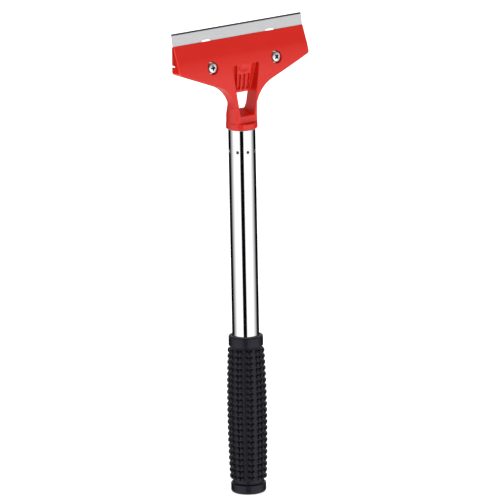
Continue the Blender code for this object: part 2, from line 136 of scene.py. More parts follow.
def crossings(value, low, step, axis):
    """Grid edges along one axis where the field changes sign: the point, and the four cells round it."""
    cells = np.array(value.shape) - 1
    near, far = [slice(None)] * 3, [slice(None)] * 3
    near[axis], far[axis] = slice(0, -1), slice(1, None)
    inside = value < 0.0
    at = np.argwhere(inside[tuple(near)] != inside[tuple(far)])
    others = [i for i in range(3) if i != axis]
    at = at[np.all((at[:, others] > 0) & (at[:, others] < cells[others]), axis=1)]
    after = at.copy()
    after[:, axis] += 1
    start, end = value[tuple(at.T)], value[tuple(after.T)]
    point = low + at * step
    point[:, axis] += step[axis] * start / (start - end)
    ring = []
    for du, dv in ((-1, -1), (0, -1), (0, 0), (-1, 0)):
        cell = at.copy()
        cell[:, others[0]] += du
        cell[:, others[1]] += dv
        ring.append(np.ravel_multi_index(tuple(cell.T), tuple(cells)))
    ring = np.stack(ring, axis=1)
    flip = (start < 0.0) == (axis == 1)
    ring[flip] = ring[flip][:, ::-1]
    return point, ring


def net(name, field, low, high, step, place=None):
    """Meshes a field's zero level: one point per crossed cell, moved onto the surface."""
    low = np.array(low, float)
    step = np.ones(3) * step
    count = np.ceil((np.array(high) - low) / step).astype(int) + 1
    axes = [low[i] + step[i] * np.arange(count[i]) for i in range(3)]
    value = field(*np.meshgrid(*axes, indexing="ij"))
    total = np.zeros((int(np.prod(count - 1)), 3))
    hits = np.zeros(len(total))
    quads = []
    for axis in range(3):
        point, ring = crossings(value, low, step, axis)
        for corner in range(4):
            np.add.at(total, ring[:, corner], point)
            np.add.at(hits, ring[:, corner], 1.0)
        quads.append(ring)
    used, faces = np.unique(np.concatenate(quads), return_inverse=True)
    points = total[used] / hits[used][:, None]
    for _ in range(3):
        slope = gradient(field, points)
        size = np.maximum((slope**2).sum(axis=1), 0.25)
        move = -(field(*points.T) / size)[:, None] * slope
        points += np.clip(move, -0.4 * step, 0.4 * step)
    slope = gradient(field, points)
    if place is not None:
        points = points @ place[0] + place[1]
        slope = slope @ place[0]
    return mesh_object(name, points, faces.reshape(-1, 4), slope)


def mesh_object(name, points, faces, normals=None):
    mesh = bpy.data.meshes.new(name)
    mesh.vertices.add(len(points))
    mesh.vertices.foreach_set("co", (np.asarray(points) * MM).astype(np.float32).ravel())
    sizes = np.array([len(face) for face in faces])
    corners = np.concatenate([np.asarray(face) for face in faces])
    mesh.loops.add(len(corners))
    mesh.loops.foreach_set("vertex_index", corners.astype(np.int32))
    mesh.polygons.add(len(sizes))
    starts = np.concatenate(([0], np.cumsum(sizes)[:-1]))
    mesh.polygons.foreach_set("loop_start", starts.astype(np.int32))
    mesh.polygons.foreach_set("loop_total", sizes.astype(np.int32))
    mesh.update(calc_edges=True)
    mesh.shade_smooth()
    if normals is not None:
        length = np.linalg.norm(normals, axis=1, keepdims=True)
        mesh.normals_split_custom_set_from_vertices(normals / np.maximum(length, 1e-9))
    obj = bpy.data.objects.new(name, mesh)
    bpy.context.scene.collection.objects.link(obj)
    return obj


# ---------------------------------------------------------------- turned-piece tools

def turned(name, profile, angles, radius_at=None):
    """Rings about the handle's axis. The profile (radius, z) is closed and starts down the outside."""
    columns = len(angles)
    points, rings = [], []
    for radius, z in profile:
        if radius == 0.0:
            rings.append([len(points)] * columns)
            points.append((0.0, 0.0, z))
            continue
        around = np.full(columns, radius)
        if radius_at is not None:
            around = radius_at(angles, around, z)
        rings.append(list(range(len(points), len(points) + columns)))
        points += zip(around * np.sin(angles), -around * np.cos(angles), np.full(columns, z))
    pairs = list(zip(rings, rings[1:]))
    if profile[0][0] > 0.0:
        pairs.append((rings[-1], rings[0]))
    faces = []
    for upper, lower in pairs:
        for i in range(columns):
            j = (i + 1) % columns
            faces.append(list(dict.fromkeys((upper[i], lower[i], lower[j], upper[j]))))
    return mesh_object(name, points, faces)


def round_edge(centre_r, centre_z, radius, start, end, steps=5):
    """Profile points of a rounded edge; angles in degrees from +r, positive towards +z."""
    turns = [math.radians(start + (end - start) * i / steps) for i in range(steps + 1)]
    return [(centre_r + radius * math.cos(t), centre_z + radius * math.sin(t)) for t in turns]


def ease(value):
    value = np.clip(value, 0.0, 1.0)
    return value * value * (3.0 - 2.0 * value)


# ---------------------------------------------------------------- red head

LIP_FRONT_Y = 0.95
CREASE = (-5.05, 259.1)
NECK_FRONT_Y = -5.75
NECK_RADIUS = 9.06
NECK_FLAT_HALF = 7.0
BACK_TOP = (2.6, JAW_Z)
BACK_LOW = (3.2, 243.5)
BACK_Y = 3.25
NECK_BACK = (9.3, 225.5)
NECK_BACK_TOP = (3.2, 231.5)
NECK_FADE_Z = 233.0
NECK_FADE = 0.35
NECK_RIM_RADIUS = 9.2
NECK_RIM_TOP_Z = 224.0
END_Z = 258.8
WING_SLOPE = math.radians(20.5)
WING_FILLET = 20.0
SPIGOT_RADIUS = 6.7
GROOVE_FLOOR = SPIGOT_RADIUS - 1.0
GROOVE_HALF = 2.1
CRIMP_Z = 207.0
BLADE_FRONT_Y = 1.55
SEAT_Y = 0.1
SHELF_Z = blade_low[2] - 0.3
PLATE_END_Z = 263.9
PLATE_LOW_HALF = 22.0
REBATE_BORDER = 0.8
RECESS_TOP_Z = 258.8
RECESS_TOP_HALF = 10.4
RECESS_LOW_Z = 228.3
RECESS_LOW_HALF = 5.3
WINDOW_TOP_Z = 242.0
SILL_BACK = (3.2, 230.9)
RAMP_TOP_Y = -1.9
RAMP_LOW_Y = 0.3
RAMP_COSINE = 0.987
TONGUE_RISE = 1.95
ROOT_OVERLAP = 0.6
FLUTE_PITCH = 3.35
FLUTE_RADIUS = 1.15
FLUTE_LOW_Z = 244.7
FLUTE_HIGH_Z = 251.8
FLUTE_SUNK = 0.6
TONGUE_LOW_HALF = 4.8
TONGUE_HIGH_HALF = 5.6
SCOOP_MIDDLE = (0.0, -4.4, 256.5)
SCOOP_REACH = (5.2, 1.8, 3.4)
SEAT_DEPTH = 3.15
COUNTERBORE_RADIUS = 3.9
HOLE_RADIUS = 1.75


def behind_blade(y, z):
    """Distance behind the plane of the blade's front face."""
    return -(y - BLADE_FRONT_Y) * OUT[1] - (z - JAW_Z) * OUT[2]


def wing_outline(ax, z):
    """The head seen from the front: its wings, and the sweep that runs down into the neck."""
    s, c = math.sin(WING_SLOPE), math.cos(WING_SLOPE)
    corner_z = END_Z - (HALF_WIDTH - NECK_FLAT_HALF) * s / c
    below = (ax - NECK_FLAT_HALF) * s - (z - corner_z) * c
    beside = ax - NECK_FLAT_HALF
    u = ax - NECK_FLAT_HALF - WING_FILLET
    v = z - corner_z - WING_FILLET * (s - 1.0) / c
    along = v / c
    in_sweep = (along > 0.0) & (-u - along * s > 0.0)
    shape = np.where(in_sweep, WING_FILLET - np.hypot(u, v), np.minimum(below, beside))
    return meet(shape, ax - HALF_WIDTH, 1.2)


def front_faces(y, z):
    upper = side_of(y, z, (LIP_FRONT_Y, JAW_Z), CREASE)
    lower = side_of(y, z, CREASE, (NECK_FRONT_Y, SHOULDER_Z))
    return meet(-upper, -lower, 2.5)


def plate_outline(ax, z, border=0.0):
    low_z = plate_low[2] - border
    slanted = -side_of(ax, z, (PLATE_LOW_HALF, low_z), (HALF_WIDTH, PLATE_END_Z - border))
    return meet(slanted, low_z - z, 4.0 + border)


def rebate(ax, y, z):
    """The hollow in the head's back: a floor for the blade above its shelf, a seat below it."""
    steps = np.minimum(SHELF_Z - z, SEAT_Y - y)
    hollow = np.maximum(-behind_blade(y, z) - 0.1, steps)
    return np.maximum(hollow, plate_outline(ax, z, REBATE_BORDER))


def ramp_y(z):
    part = (RECESS_TOP_Z - z) / (RECESS_TOP_Z - WINDOW_TOP_Z)
    return RAMP_TOP_Y + (RAMP_LOW_Y - RAMP_TOP_Y) * part


def window(ax, y, z):
    """The tapered recess in the neck: a sloping floor above, open right through below."""
    taper = math.atan2(RECESS_TOP_HALF - RECESS_LOW_HALF, RECESS_TOP_Z - RECESS_LOW_Z)
    walls = (ax - RECESS_LOW_HALF) * math.cos(taper) - (z - RECESS_LOW_Z) * math.sin(taper)
    floor = np.minimum((y - ramp_y(z)) * RAMP_COSINE, z - WINDOW_TOP_Z)
    sill = -side_of(y, z, (NECK_FRONT_Y, RECESS_LOW_Z), SILL_BACK)
    shape = meet(floor, z - RECESS_TOP_Z, 0.5)
    shape = meet(shape, sill, 0.8)
    return meet(shape, walls, 0.6)


def tongue(x, y, z):
    """The thumb ramp: a scoop at its top, then three flutes between rounded ribs."""
    part = (z - WINDOW_TOP_Z) / (RECESS_TOP_Z - WINDOW_TOP_Z)
    half = TONGUE_LOW_HALF + (TONGUE_HIGH_HALF - TONGUE_LOW_HALF) * part
    face = ramp_y(z) - TONGUE_RISE
    shape = meet((face - y) * RAMP_COSINE, np.abs(x) - half, 0.35)
    shape = meet(shape, WINDOW_TOP_Z - z, 0.3)
    shape = np.maximum(shape, (y - ramp_y(z) - ROOT_OVERLAP) * RAMP_COSINE)
    shape = np.maximum(shape, z - RECESS_TOP_Z - ROOT_OVERLAP)
    offsets = [(at - middle) / reach for at, middle, reach in zip((x, y, z), SCOOP_MIDDLE, SCOOP_REACH)]
    scoop = np.sqrt(sum(offset**2 for offset in offsets)) - 1.0
    shape = cut(shape, scoop * 1.6, 0.25)
    for middle in (-FLUTE_PITCH, 0.0, FLUTE_PITCH):
        near_z = np.clip(z, FLUTE_LOW_Z, FLUTE_HIGH_Z)
        below = clamp0(y - ramp_y(near_z) + TONGUE_RISE - FLUTE_SUNK)
        flute = np.sqrt((x - middle) ** 2 + below**2 + (z - near_z) ** 2) - FLUTE_RADIUS
        shape = cut(shape, flute, 0.25)
    return shape


def screw_axis(x, y, z):
    """Radius from the right-hand screw's axis, and height along it out of the head's face."""
    at = SCREWS["right"]
    out = (y - at[1]) * OUT[1] + (z - at[2]) * OUT[2]
    up = (y - at[1]) * UP[1] + (z - at[2]) * UP[2]
    return np.hypot(x - at[0], up), out


def head_field(x, y, z):
    ax = np.abs(x)
    slab = meet(wing_outline(ax, z), y - BACK_Y, 0.9)
    slab = meet(slab, side_of(y, z, BACK_TOP, BACK_LOW), 0.4)
    around = np.hypot(x, y)
    neck = around - NECK_RADIUS + NECK_FADE * clamp0(z - NECK_FADE_Z)
    back = join(-side_of(y, z, NECK_BACK, NECK_BACK_TOP), y - BACK_Y, 3.0)
    body = meet(join(slab, neck, 1.5), back, 0.7)
    body = meet(body, front_faces(y, z), 0.8)
    body = meet(body, z - JAW_Z, 0.12)
    rim = meet(around - NECK_RIM_RADIUS, z - NECK_RIM_TOP_Z, 0.5)
    body = meet(join(body, rim, 0.5), SHOULDER_Z - z, 0.45)
    body = cut(body, window(ax, y, z), 0.4)
    body = join(body, tongue(x, y, z), 0.3)
    body = cut(body, rebate(ax, y, z), 0.2)
    radius, out = screw_axis(ax, y, z)
    body = cut(body, np.maximum(radius - COUNTERBORE_RADIUS, -SEAT_DEPTH - out), 0.25)
    body = cut(body, radius - HOLE_RADIUS, 0.15)
    groove = meet(GROOVE_FLOOR - around, np.abs(z - CRIMP_Z) - GROOVE_HALF, 0.3)
    spigot = meet(around - SPIGOT_RADIUS, SPIGOT_LOW - z, 0.9)
    spigot = np.maximum(cut(spigot, groove, 0.3), z - SHOULDER_Z - 1.0)
    return np.minimum(body, spigot)


def make_head():
    low = head_low - 0.5
    high = head_high + 0.5
    head = net("head_moulding", head_field, low, high, (0.37, 0.26, 0.37))
    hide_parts("head_body")
    dress(head, "handle", red_plastic())


# ---------------------------------------------------------------- back plate and blade

NUT_HALF_FLATS = 2.75
NUT_HEIGHT = 1.8


def plate_field(x, y, z):
    ax = np.abs(x)
    inner = np.maximum(0.6 - behind_blade(y, z), SEAT_Y + 0.25 - y)
    plate = meet(meet(plate_outline(ax, z), ax - HALF_WIDTH, 0.4), inner, 0.12)
    plate = meet(plate, side_of(y, z, BACK_TOP, BACK_LOW), 0.5)
    plate = meet(plate, z - plate_high[2], 0.12)
    radius, out = screw_axis(ax, y, z)
    plate = cut(plate, radius - HOLE_RADIUS, 0.12)
    return cut(plate, np.maximum(hexagon(ax, y, z) - 0.17, out - nut_top - 0.1), 0.15)


def hexagon(ax, y, z):
    """Distance outside a nut's six flats, about the right-hand screw's axis."""
    at = SCREWS["right"]
    up = (y - at[1]) * UP[1] + (z - at[2]) * UP[2]
    return six_flats(ax - at[0], up)


def six_flats(x, up):
    slanted = np.maximum(np.abs(0.5 * x + 0.866 * up), np.abs(0.5 * x - 0.866 * up))
    return np.maximum(np.abs(x), slanted) - NUT_HALF_FLATS


def find_nut_top():
    """Height of the nuts' front faces along the screws' outward axis."""
    low, high = box_mm("nut_right")
    middle = (low + high) / 2.0
    return (middle - SCREWS["right"]) @ OUT + NUT_HEIGHT / 2.0


nut_top = find_nut_top()


def make_plate():
    low = plate_low - 0.5
    high = plate_high + 0.5
    plate = net("back_plate", plate_field, low, high, (0.36, 0.16, 0.36))
    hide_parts("clamp_plate")
    dress(plate, "clamp", red_plastic())


# ---------------------------------------------------------------- fasteners

PITCH = 0.5
HEAD_RADIUS = 3.0
HEAD_TOP = -0.4
HEAD_UNDER = -2.5
SCREW_TIP = -8.5
WASHER_TOP = -2.6
DOME_RADIUS = 12.0
CROSS_REACH = 1.75
CROSS_DEPTH = 1.25
WASHER_THICKNESS = 0.45


def thread_radius(x, up, out):
    """The M3 ridge, right-handed, shared by screw and nut so that they mesh."""
    phase = 2.0 * math.pi * out / PITCH - np.arctan2(up, x)
    return 1.33 + 0.13 * np.cos(phase)


def cross_recess(x, up, depth, turn):
    """Four tapering arms with wide fillets between them."""
    c, s = math.cos(turn), math.sin(turn)
    a, b = np.abs(x * c + up * s), np.abs(up * c - x * s)
    narrow = 0.42 - 0.08 * depth
    reach = CROSS_REACH - 0.5 * depth
    arm_a = meet(a - reach, b - narrow, 0.12)
    arm_b = meet(b - reach, a - narrow, 0.12)
    return meet(join(arm_a, arm_b, 0.8), depth - CROSS_DEPTH, 0.15)


def screw_field(turn):
    """A pan head with a cross recess, over a threaded shank."""
    def field(x, up, out):
        radius = np.hypot(x, up)
        side = meet(radius - HEAD_RADIUS, HEAD_UNDER - out, 0.2)
        dome = np.sqrt(radius**2 + (out - HEAD_TOP + DOME_RADIUS) ** 2) - DOME_RADIUS
        head = meet(side, dome, 0.5)
        head = cut(head, cross_recess(x, up, HEAD_TOP - out, turn), 0.07)
        shank = (radius - thread_radius(x, up, out)) * 0.6
        shank = meet(shank, SCREW_TIP - out + 0.6 * clamp0(radius - 0.9), 0.1)
        shank = np.maximum(shank, out - HEAD_UNDER - 0.5)
        return join(head, shank, 0.12)
    return field


def washer_field(x, up, out):
    radius = np.hypot(x, up)
    ring = np.maximum(radius - 3.5, 1.6 - radius)
    middle = WASHER_TOP - WASHER_THICKNESS / 2.0
    return meet(ring, np.abs(out - middle) - WASHER_THICKNESS / 2.0, 0.1)


def nut_field(x, up, out):
    radius = np.hypot(x, up)
    from_face = np.abs(out - nut_top + NUT_HEIGHT / 2.0) - NUT_HEIGHT / 2.0
    chamfer = (radius - 2.85) * 0.5 + from_face * 0.866
    nut = meet(meet(six_flats(x, up), from_face, 0.06), chamfer, 0.06)
    bore = (radius - thread_radius(x, up, out) - 0.1) * 0.6
    lead_in = (radius - 1.55) * 0.7 - (from_face + 0.1) * 0.7
    return np.maximum(cut(nut, bore, 0.03), -lead_in)


def screw_place(side):
    """Rows that carry a screw's own axes (x, up the blade, out of the head) into the frame."""
    return np.array(((1.0, 0.0, 0.0), UP, OUT)), SCREWS[side]


def in_recess(turn, place):
    """Tells which points lie on a screw's cross recess, below the head's dome."""
    def inside(points):
        x, up, out = ((points - place[1]) @ place[0].T).T
        depth = HEAD_TOP - out
        return (depth > 0.2) & (cross_recess(x, up, depth, turn) < 0.08)
    return inside


def make_fasteners():
    turns = {"left": math.radians(2.0), "right": math.radians(37.0)}
    for side, turn in turns.items():
        place = screw_place(side)
        low, high = (-3.3, -3.3, SCREW_TIP - 0.3), (3.3, 3.3, HEAD_TOP + 0.3)
        screw = net(f"pan_screw_{side}", screw_field(turn), low, high, 0.09, place)
        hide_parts(f"screw_{side}")
        dress(screw, f"{side}_screw", stainless())
        mark_faces(screw, in_recess(turn, place), recess_shadow())
        low = (-3.8, -3.8, WASHER_TOP - WASHER_THICKNESS - 0.35)
        high = (3.8, 3.8, WASHER_TOP + 0.35)
        washer = net(f"flat_washer_{side}", washer_field, low, high, 0.11, place)
        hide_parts(f"washer_{side}")
        dress(washer, "handle", stainless())
        nut = net(
            f"hex_nut_{side}",
            nut_field,
            (-3.5, -3.5, nut_top - NUT_HEIGHT - 0.3),
            (3.5, 3.5, nut_top + 0.3),
            0.09,
            place,
        )
        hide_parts(f"nut_{side}")
        dress(nut, "clamp", brass())


# ---------------------------------------------------------------- tube

TUBE_WALL = 1.0
DIMPLES = 8
DIMPLE_PHASE = math.radians(-16.0)
DIMPLE_DEPTH = 0.6
DIMPLE_REACH = 1.0
CRIMP_HALF = 1.7
TUBE_COLUMNS = 288


def dimpled(angle, around, z):
    """Presses the ring of crimp dimples into the tube's wall, inside and out."""
    spacing = 2.0 * math.pi / DIMPLES
    off = (angle - DIMPLE_PHASE + spacing / 2.0) % spacing - spacing / 2.0
    reach = np.hypot(off * TUBE_RADIUS, z - CRIMP_Z) / DIMPLE_REACH
    return around - DIMPLE_DEPTH * ease(1.5 * (1.0 - reach))


def in_dimple(points):
    """Tells which points lie on the outer wall inside a dimple."""
    x, y, z = points.T
    around = np.hypot(x, y)
    sunk = around < TUBE_RADIUS - 0.12
    outer_wall = around > TUBE_RADIUS - TUBE_WALL + 0.1
    return sunk & outer_wall & (np.abs(z - CRIMP_Z) < 1.2)


def make_tube():
    top, low = tube_high[2], tube_low[2]
    outer, inner = TUBE_RADIUS, TUBE_RADIUS - TUBE_WALL
    over, under = CRIMP_Z + CRIMP_HALF, CRIMP_Z - CRIMP_HALF
    above = np.linspace(top - 1.0, over, 12)[:-1]
    crimp = np.linspace(over, under, 25)
    below = np.linspace(under, low + 1.0, 60)[1:]
    rows = np.concatenate((above, crimp, below))
    profile = round_edge(outer - 0.3, top - 0.3, 0.3, 90, 0)
    profile += [(outer, z) for z in rows]
    profile += round_edge(outer - 0.3, low + 0.3, 0.3, 0, -90)
    profile += [(inner, low)]
    profile += [(inner, z) for z in rows[::-1]]
    profile += [(inner, top - 0.3), (inner + 0.25, top)]
    angles = 2.0 * math.pi * np.arange(TUBE_COLUMNS) / TUBE_COLUMNS
    tube = turned("chrome_tube", profile, angles, dimpled)
    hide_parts("tube")
    dress(tube, "handle", chrome())
    mark_faces(tube, in_dimple, dimple_shadow())


# ---------------------------------------------------------------- grip

GRIP_TOP = grip_high[2]
GRIP_BORE = TUBE_RADIUS + 0.12
GRIP_FLOOR = 3.2
COLLAR_RADIUS = 10.25
COLLAR_LOW = 89.4
GROOVE_RADIUS = 9.3
BARREL_TOP = 88.7
BARREL_LOW = 6.6
BARREL_MID = 49.0
BARREL_RADIUS = grip_high[0] + 0.2
BARREL_TAPER_UP = 1.05
BARREL_TAPER_DOWN = 0.95
RING_RADIUS = 10.45
RING_TOP = 5.9
BUTT_RADIUS = 7.4
STUD_PAIRS = 10
PAIR_PHASE = math.radians(-31.0)
STUD_OFF = math.radians(7.0)
STUD_HALF = 0.88
STUD_HEIGHT = 2.2
STUD_RAMP = 0.30
RAMP_STEPS = (-0.6, -0.3, 0.0, 0.3, 0.6)
STUD_CROWN = 0.10
STUD_ROWS = 22
STUD_PITCH = 3.66
STUD_LOW_Z = 9.65


def barrel_radius(z):
    """The outer size of the studded barrel, which swells towards its middle."""
    if z > BARREL_MID:
        return BARREL_RADIUS - BARREL_TAPER_UP * ((z - BARREL_MID) / (BARREL_TOP - BARREL_MID)) ** 2
    return BARREL_RADIUS - BARREL_TAPER_DOWN * ((BARREL_MID - z) / (BARREL_MID - BARREL_LOW)) ** 2


def stud_rise(z):
    return float(np.interp(z, (BARREL_LOW, BARREL_MID, BARREL_TOP), (1.6, 1.5, 1.4)))


def studded(angle, around, z):
    """Sinks the barrel between its studs."""
    if not BARREL_LOW < z < BARREL_TOP or abs(around[0] - barrel_radius(z)) > 1e-6:
        return around
    row = np.clip(round((z - STUD_LOW_Z) / STUD_PITCH), 0, STUD_ROWS - 1)
    off_z = abs(z - STUD_LOW_Z - row * STUD_PITCH)
    spacing = 2.0 * math.pi / STUD_PAIRS
    off = (angle - PAIR_PHASE + spacing / 2.0) % spacing - spacing / 2.0
    off = np.abs(np.abs(off) - STUD_OFF) * around
    in_row = ease((STUD_HEIGHT / 2.0 - off_z) / STUD_RAMP + 0.5)
    in_column = ease((STUD_HALF - off) / STUD_RAMP + 0.5)
    crown = STUD_CROWN * ((off / STUD_HALF) ** 2 + (off_z / STUD_HEIGHT * 2.0) ** 2)
    return around - stud_rise(z) * (1.0 - in_row * in_column * (1.0 - crown))


def grip_angles():
    """Columns gathered at the studs' sides."""
    edges = [STUD_OFF + side * STUD_HALF / BARREL_RADIUS for side in (-1.0, 1.0)]
    half = [edge + STUD_RAMP * step / BARREL_RADIUS for edge in edges for step in RAMP_STEPS]
    half += [STUD_OFF, *np.radians((13.5, 15.5))]
    spacing = 2.0 * math.pi / STUD_PAIRS
    pair = sorted([0.0, spacing / 2.0] + half + [-a for a in half])
    return np.array([PAIR_PHASE + spacing * i + a for i in range(STUD_PAIRS) for a in pair])


def barrel_rows():
    """Heights gathered at the studs' ends, from the top down."""
    rows = []
    for row in range(STUD_ROWS):
        middle = STUD_LOW_Z + row * STUD_PITCH
        rows.append(middle)
        for end in (middle - STUD_HEIGHT / 2.0, middle + STUD_HEIGHT / 2.0):
            rows += [end + STUD_RAMP * step for step in RAMP_STEPS]
    return sorted(rows, reverse=True)


def make_grip():
    top_r, low_r = barrel_radius(BARREL_TOP), barrel_radius(BARREL_LOW)
    sunk_top, sunk_low = top_r - stud_rise(BARREL_TOP), low_r - stud_rise(BARREL_LOW)
    profile = round_edge(COLLAR_RADIUS - 0.7, GRIP_TOP - 0.7, 0.7, 90, 0)
    profile += round_edge(COLLAR_RADIUS - 0.45, COLLAR_LOW + 0.45, 0.45, 0, -90)
    profile += [(GROOVE_RADIUS + 0.15, COLLAR_LOW), (GROOVE_RADIUS, COLLAR_LOW - 0.15)]
    profile += [(GROOVE_RADIUS - 0.1, BARREL_TOP + 0.1), (sunk_top - 0.15, BARREL_TOP - 0.15)]
    profile += [(sunk_top, BARREL_TOP - 0.4)]
    profile += [(barrel_radius(z), z) for z in barrel_rows()]
    profile += [(sunk_low, BARREL_LOW + 0.9), (sunk_low - 0.1, RING_TOP + 0.35)]
    profile += [(sunk_low + 0.1, RING_TOP + 0.05)]
    profile += round_edge(RING_RADIUS - 0.6, RING_TOP - 0.6, 0.6, 90, 0)
    profile += round_edge(RING_RADIUS - 1.6, 1.6, 1.6, 0, -65, 8)
    profile += [(BUTT_RADIUS + 0.7, 0.06), (BUTT_RADIUS, 0.0), (5.0, 0.0), (2.5, 0.0), (1.0, 0.0)]
    profile += [(0.9, GRIP_FLOOR), (GRIP_BORE - 0.2, GRIP_FLOOR), (GRIP_BORE, GRIP_FLOOR + 0.2)]
    profile += [(GRIP_BORE, z) for z in np.linspace(GRIP_FLOOR + 4.0, GRIP_TOP - 3.0, 24)]
    profile += [(GRIP_BORE, GRIP_TOP - 0.35), (GRIP_BORE + 0.35, GRIP_TOP)]
    grip = turned("rubber_grip", profile, grip_angles(), studded)
    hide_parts("grip")
    dress(grip, "handle", rubber())


# ---------------------------------------------------------------- materials

def new_material(name):
    made = bpy.data.materials.new(name)
    made.use_nodes = True
    nodes = made.node_tree.nodes
    return made, nodes, made.node_tree.links, nodes["Principled BSDF"]


def coordinates(nodes, links, scale):
    """Object coordinates, stretched per axis."""
    where = nodes.new("ShaderNodeTexCoord")
    mapping = nodes.new("ShaderNodeMapping")
    mapping.inputs["Scale"].default_value = scale
    links.new(where.outputs["Object"], mapping.inputs["Vector"])
    return mapping.outputs["Vector"]


def noise(nodes, links, vector, scale, detail=3.0, roughness=0.5):
    made = nodes.new("ShaderNodeTexNoise")
    made.inputs["Scale"].default_value = scale
    made.inputs["Detail"].default_value = detail
    made.inputs["Roughness"].default_value = roughness
    links.new(vector, made.inputs["Vector"])
    return made.outputs["Fac"]


def spread(nodes, links, value, low, high, from_low=0.3, from_high=0.7):
    made = nodes.new("ShaderNodeMapRange")
    made.inputs["From Min"].default_value = from_low
    made.inputs["From Max"].default_value = from_high
    made.inputs["To Min"].default_value = low
    made.inputs["To Max"].default_value = high
    links.new(value, made.inputs["Value"])
    return made.outputs["Result"]


def calc(nodes, links, operation, *values):
    """One maths node, whose inputs are plain numbers or other nodes' outputs."""
    made = nodes.new("ShaderNodeMath")
    made.operation = operation
    for value, place in zip(values, made.inputs):
        if isinstance(value, float):
            place.default_value = value
        else:
            links.new(value, place)
    return made.outputs[0]


def blend_colours(nodes, links, factor, first, second):
    """Mixes two colours, each given as numbers or as another node's output."""
    made = nodes.new("ShaderNodeMix")
    made.data_type = "RGBA"
    for colour, place in ((first, made.inputs[6]), (second, made.inputs[7])):
        if isinstance(colour, tuple):
            place.default_value = (*colour, 1.0)
        else:
            links.new(colour, place)
    links.new(factor, made.inputs[0])
    return made.outputs[2]


def bump(nodes, links, height, distance, strength=1.0):
    made = nodes.new("ShaderNodeBump")
    made.inputs["Strength"].default_value = strength
    made.inputs["Distance"].default_value = distance
    links.new(height, made.inputs["Height"])
    return made.outputs["Normal"]


def size_along(nodes, links, vector, axis):
    """The size, without its sign, of one component of a vector."""
    parts = nodes.new("ShaderNodeSeparateXYZ")
    links.new(vector, parts.inputs[0])
    return calc(nodes, links, "ABSOLUTE", parts.outputs[axis])


def red_plastic():
    """Glossy moulded red with a soft orange peel. Its cut ends are satin, and the rounded edges beside
    them carry a painted highlight.
    """
    made, nodes, links, shader = new_material("red_moulded_plastic")
    flow = noise(nodes, links, coordinates(nodes, links, (1.0, 1.0, 2.5)), 60.0)
    peel = noise(nodes, links, coordinates(nodes, links, (1.0, 1.0, 1.0)), 900.0, 1.0)
    where = nodes.new("ShaderNodeTexCoord")
    facing = size_along(nodes, links, where.outputs["Normal"], "X")
    side = size_along(nodes, links, where.outputs["Object"], "X")
    near_end = spread(nodes, links, side, 0.0, 1.0, (HALF_WIDTH - 1.1) * MM, (HALF_WIDTH - 0.8) * MM)
    on_end = spread(nodes, links, facing, 0.0, 1.0, 0.90, 0.98)
    end = calc(nodes, links, "MULTIPLY", near_end, on_end)
    turning = spread(nodes, links, facing, 0.0, 1.0, 0.25, 0.50)
    not_end = spread(nodes, links, facing, 1.0, 0.0, 0.85, 0.96)
    edge = calc(nodes, links, "MULTIPLY", near_end, calc(nodes, links, "MULTIPLY", turning, not_end))
    colour = blend_colours(nodes, links, flow, (0.585, 0.0110, 0.0042), (0.640, 0.0135, 0.0054))
    # Painted highlight: a bright pinkish red on the rounded edges next to the cut ends, in place of a
    # lamp's reflection.
    highlighted_colour = blend_colours(nodes, links, edge, colour, (0.86, 0.042, 0.022))
    links.new(highlighted_colour, shader.inputs["Base Color"])
    links.new(spread(nodes, links, flow, 0.27, 0.34), shader.inputs["Roughness"])
    links.new(bump(nodes, links, peel, 0.00002, 0.25), shader.inputs["Normal"])
    links.new(spread(nodes, links, end, 0.38, 0.04, 0.0, 1.0), shader.inputs["Specular IOR Level"])
    links.new(spread(nodes, links, end, 0.12, 0.0, 0.0, 1.0), shader.inputs["Coat Weight"])
    shader.inputs["Coat Roughness"].default_value = 0.10
    return made


def brushed_steel():
    """Satin steel with long fine brush lines, and painted shade along the ground bevel at the edge, in
    place of the bevel's darker reflection.
    """
    made, nodes, links, shader = new_material("blade_brushed_steel")
    lines = noise(nodes, links, coordinates(nodes, links, (0.02, 1.0, 1.0)), 9000.0, 2.0)
    cloud = noise(nodes, links, coordinates(nodes, links, (0.4, 1.0, 1.0)), 120.0)
    faint = spread(nodes, links, lines, 0.0, 0.3)
    mixed = calc(nodes, links, "MULTIPLY_ADD", cloud, 0.7, faint)
    shade = blend_colours(nodes, links, mixed, (0.55, 0.57, 0.59), (0.98, 0.97, 0.96))
    where = nodes.new("ShaderNodeTexCoord")
    height = size_along(nodes, links, where.outputs["Object"], "Z")
    ground_low, ground_high = (blade_high[2] - 0.80) * MM, (blade_high[2] - 0.60) * MM
    bevel_shade = spread(nodes, links, height, 0.0, 1.0, ground_low, ground_high)
    # Painted shade: the ground bevel's band is coloured dark grey, standing in for its darker reflection.
    shaded_colour = blend_colours(nodes, links, bevel_shade, shade, (0.16, 0.16, 0.18))
    links.new(shaded_colour, shader.inputs["Base Color"])
    shader.inputs["Metallic"].default_value = 1.0
    links.new(spread(nodes, links, cloud, 0.28, 0.40), shader.inputs["Roughness"])
    links.new(bump(nodes, links, lines, 0.000004, 0.35), shader.inputs["Normal"])
    return made


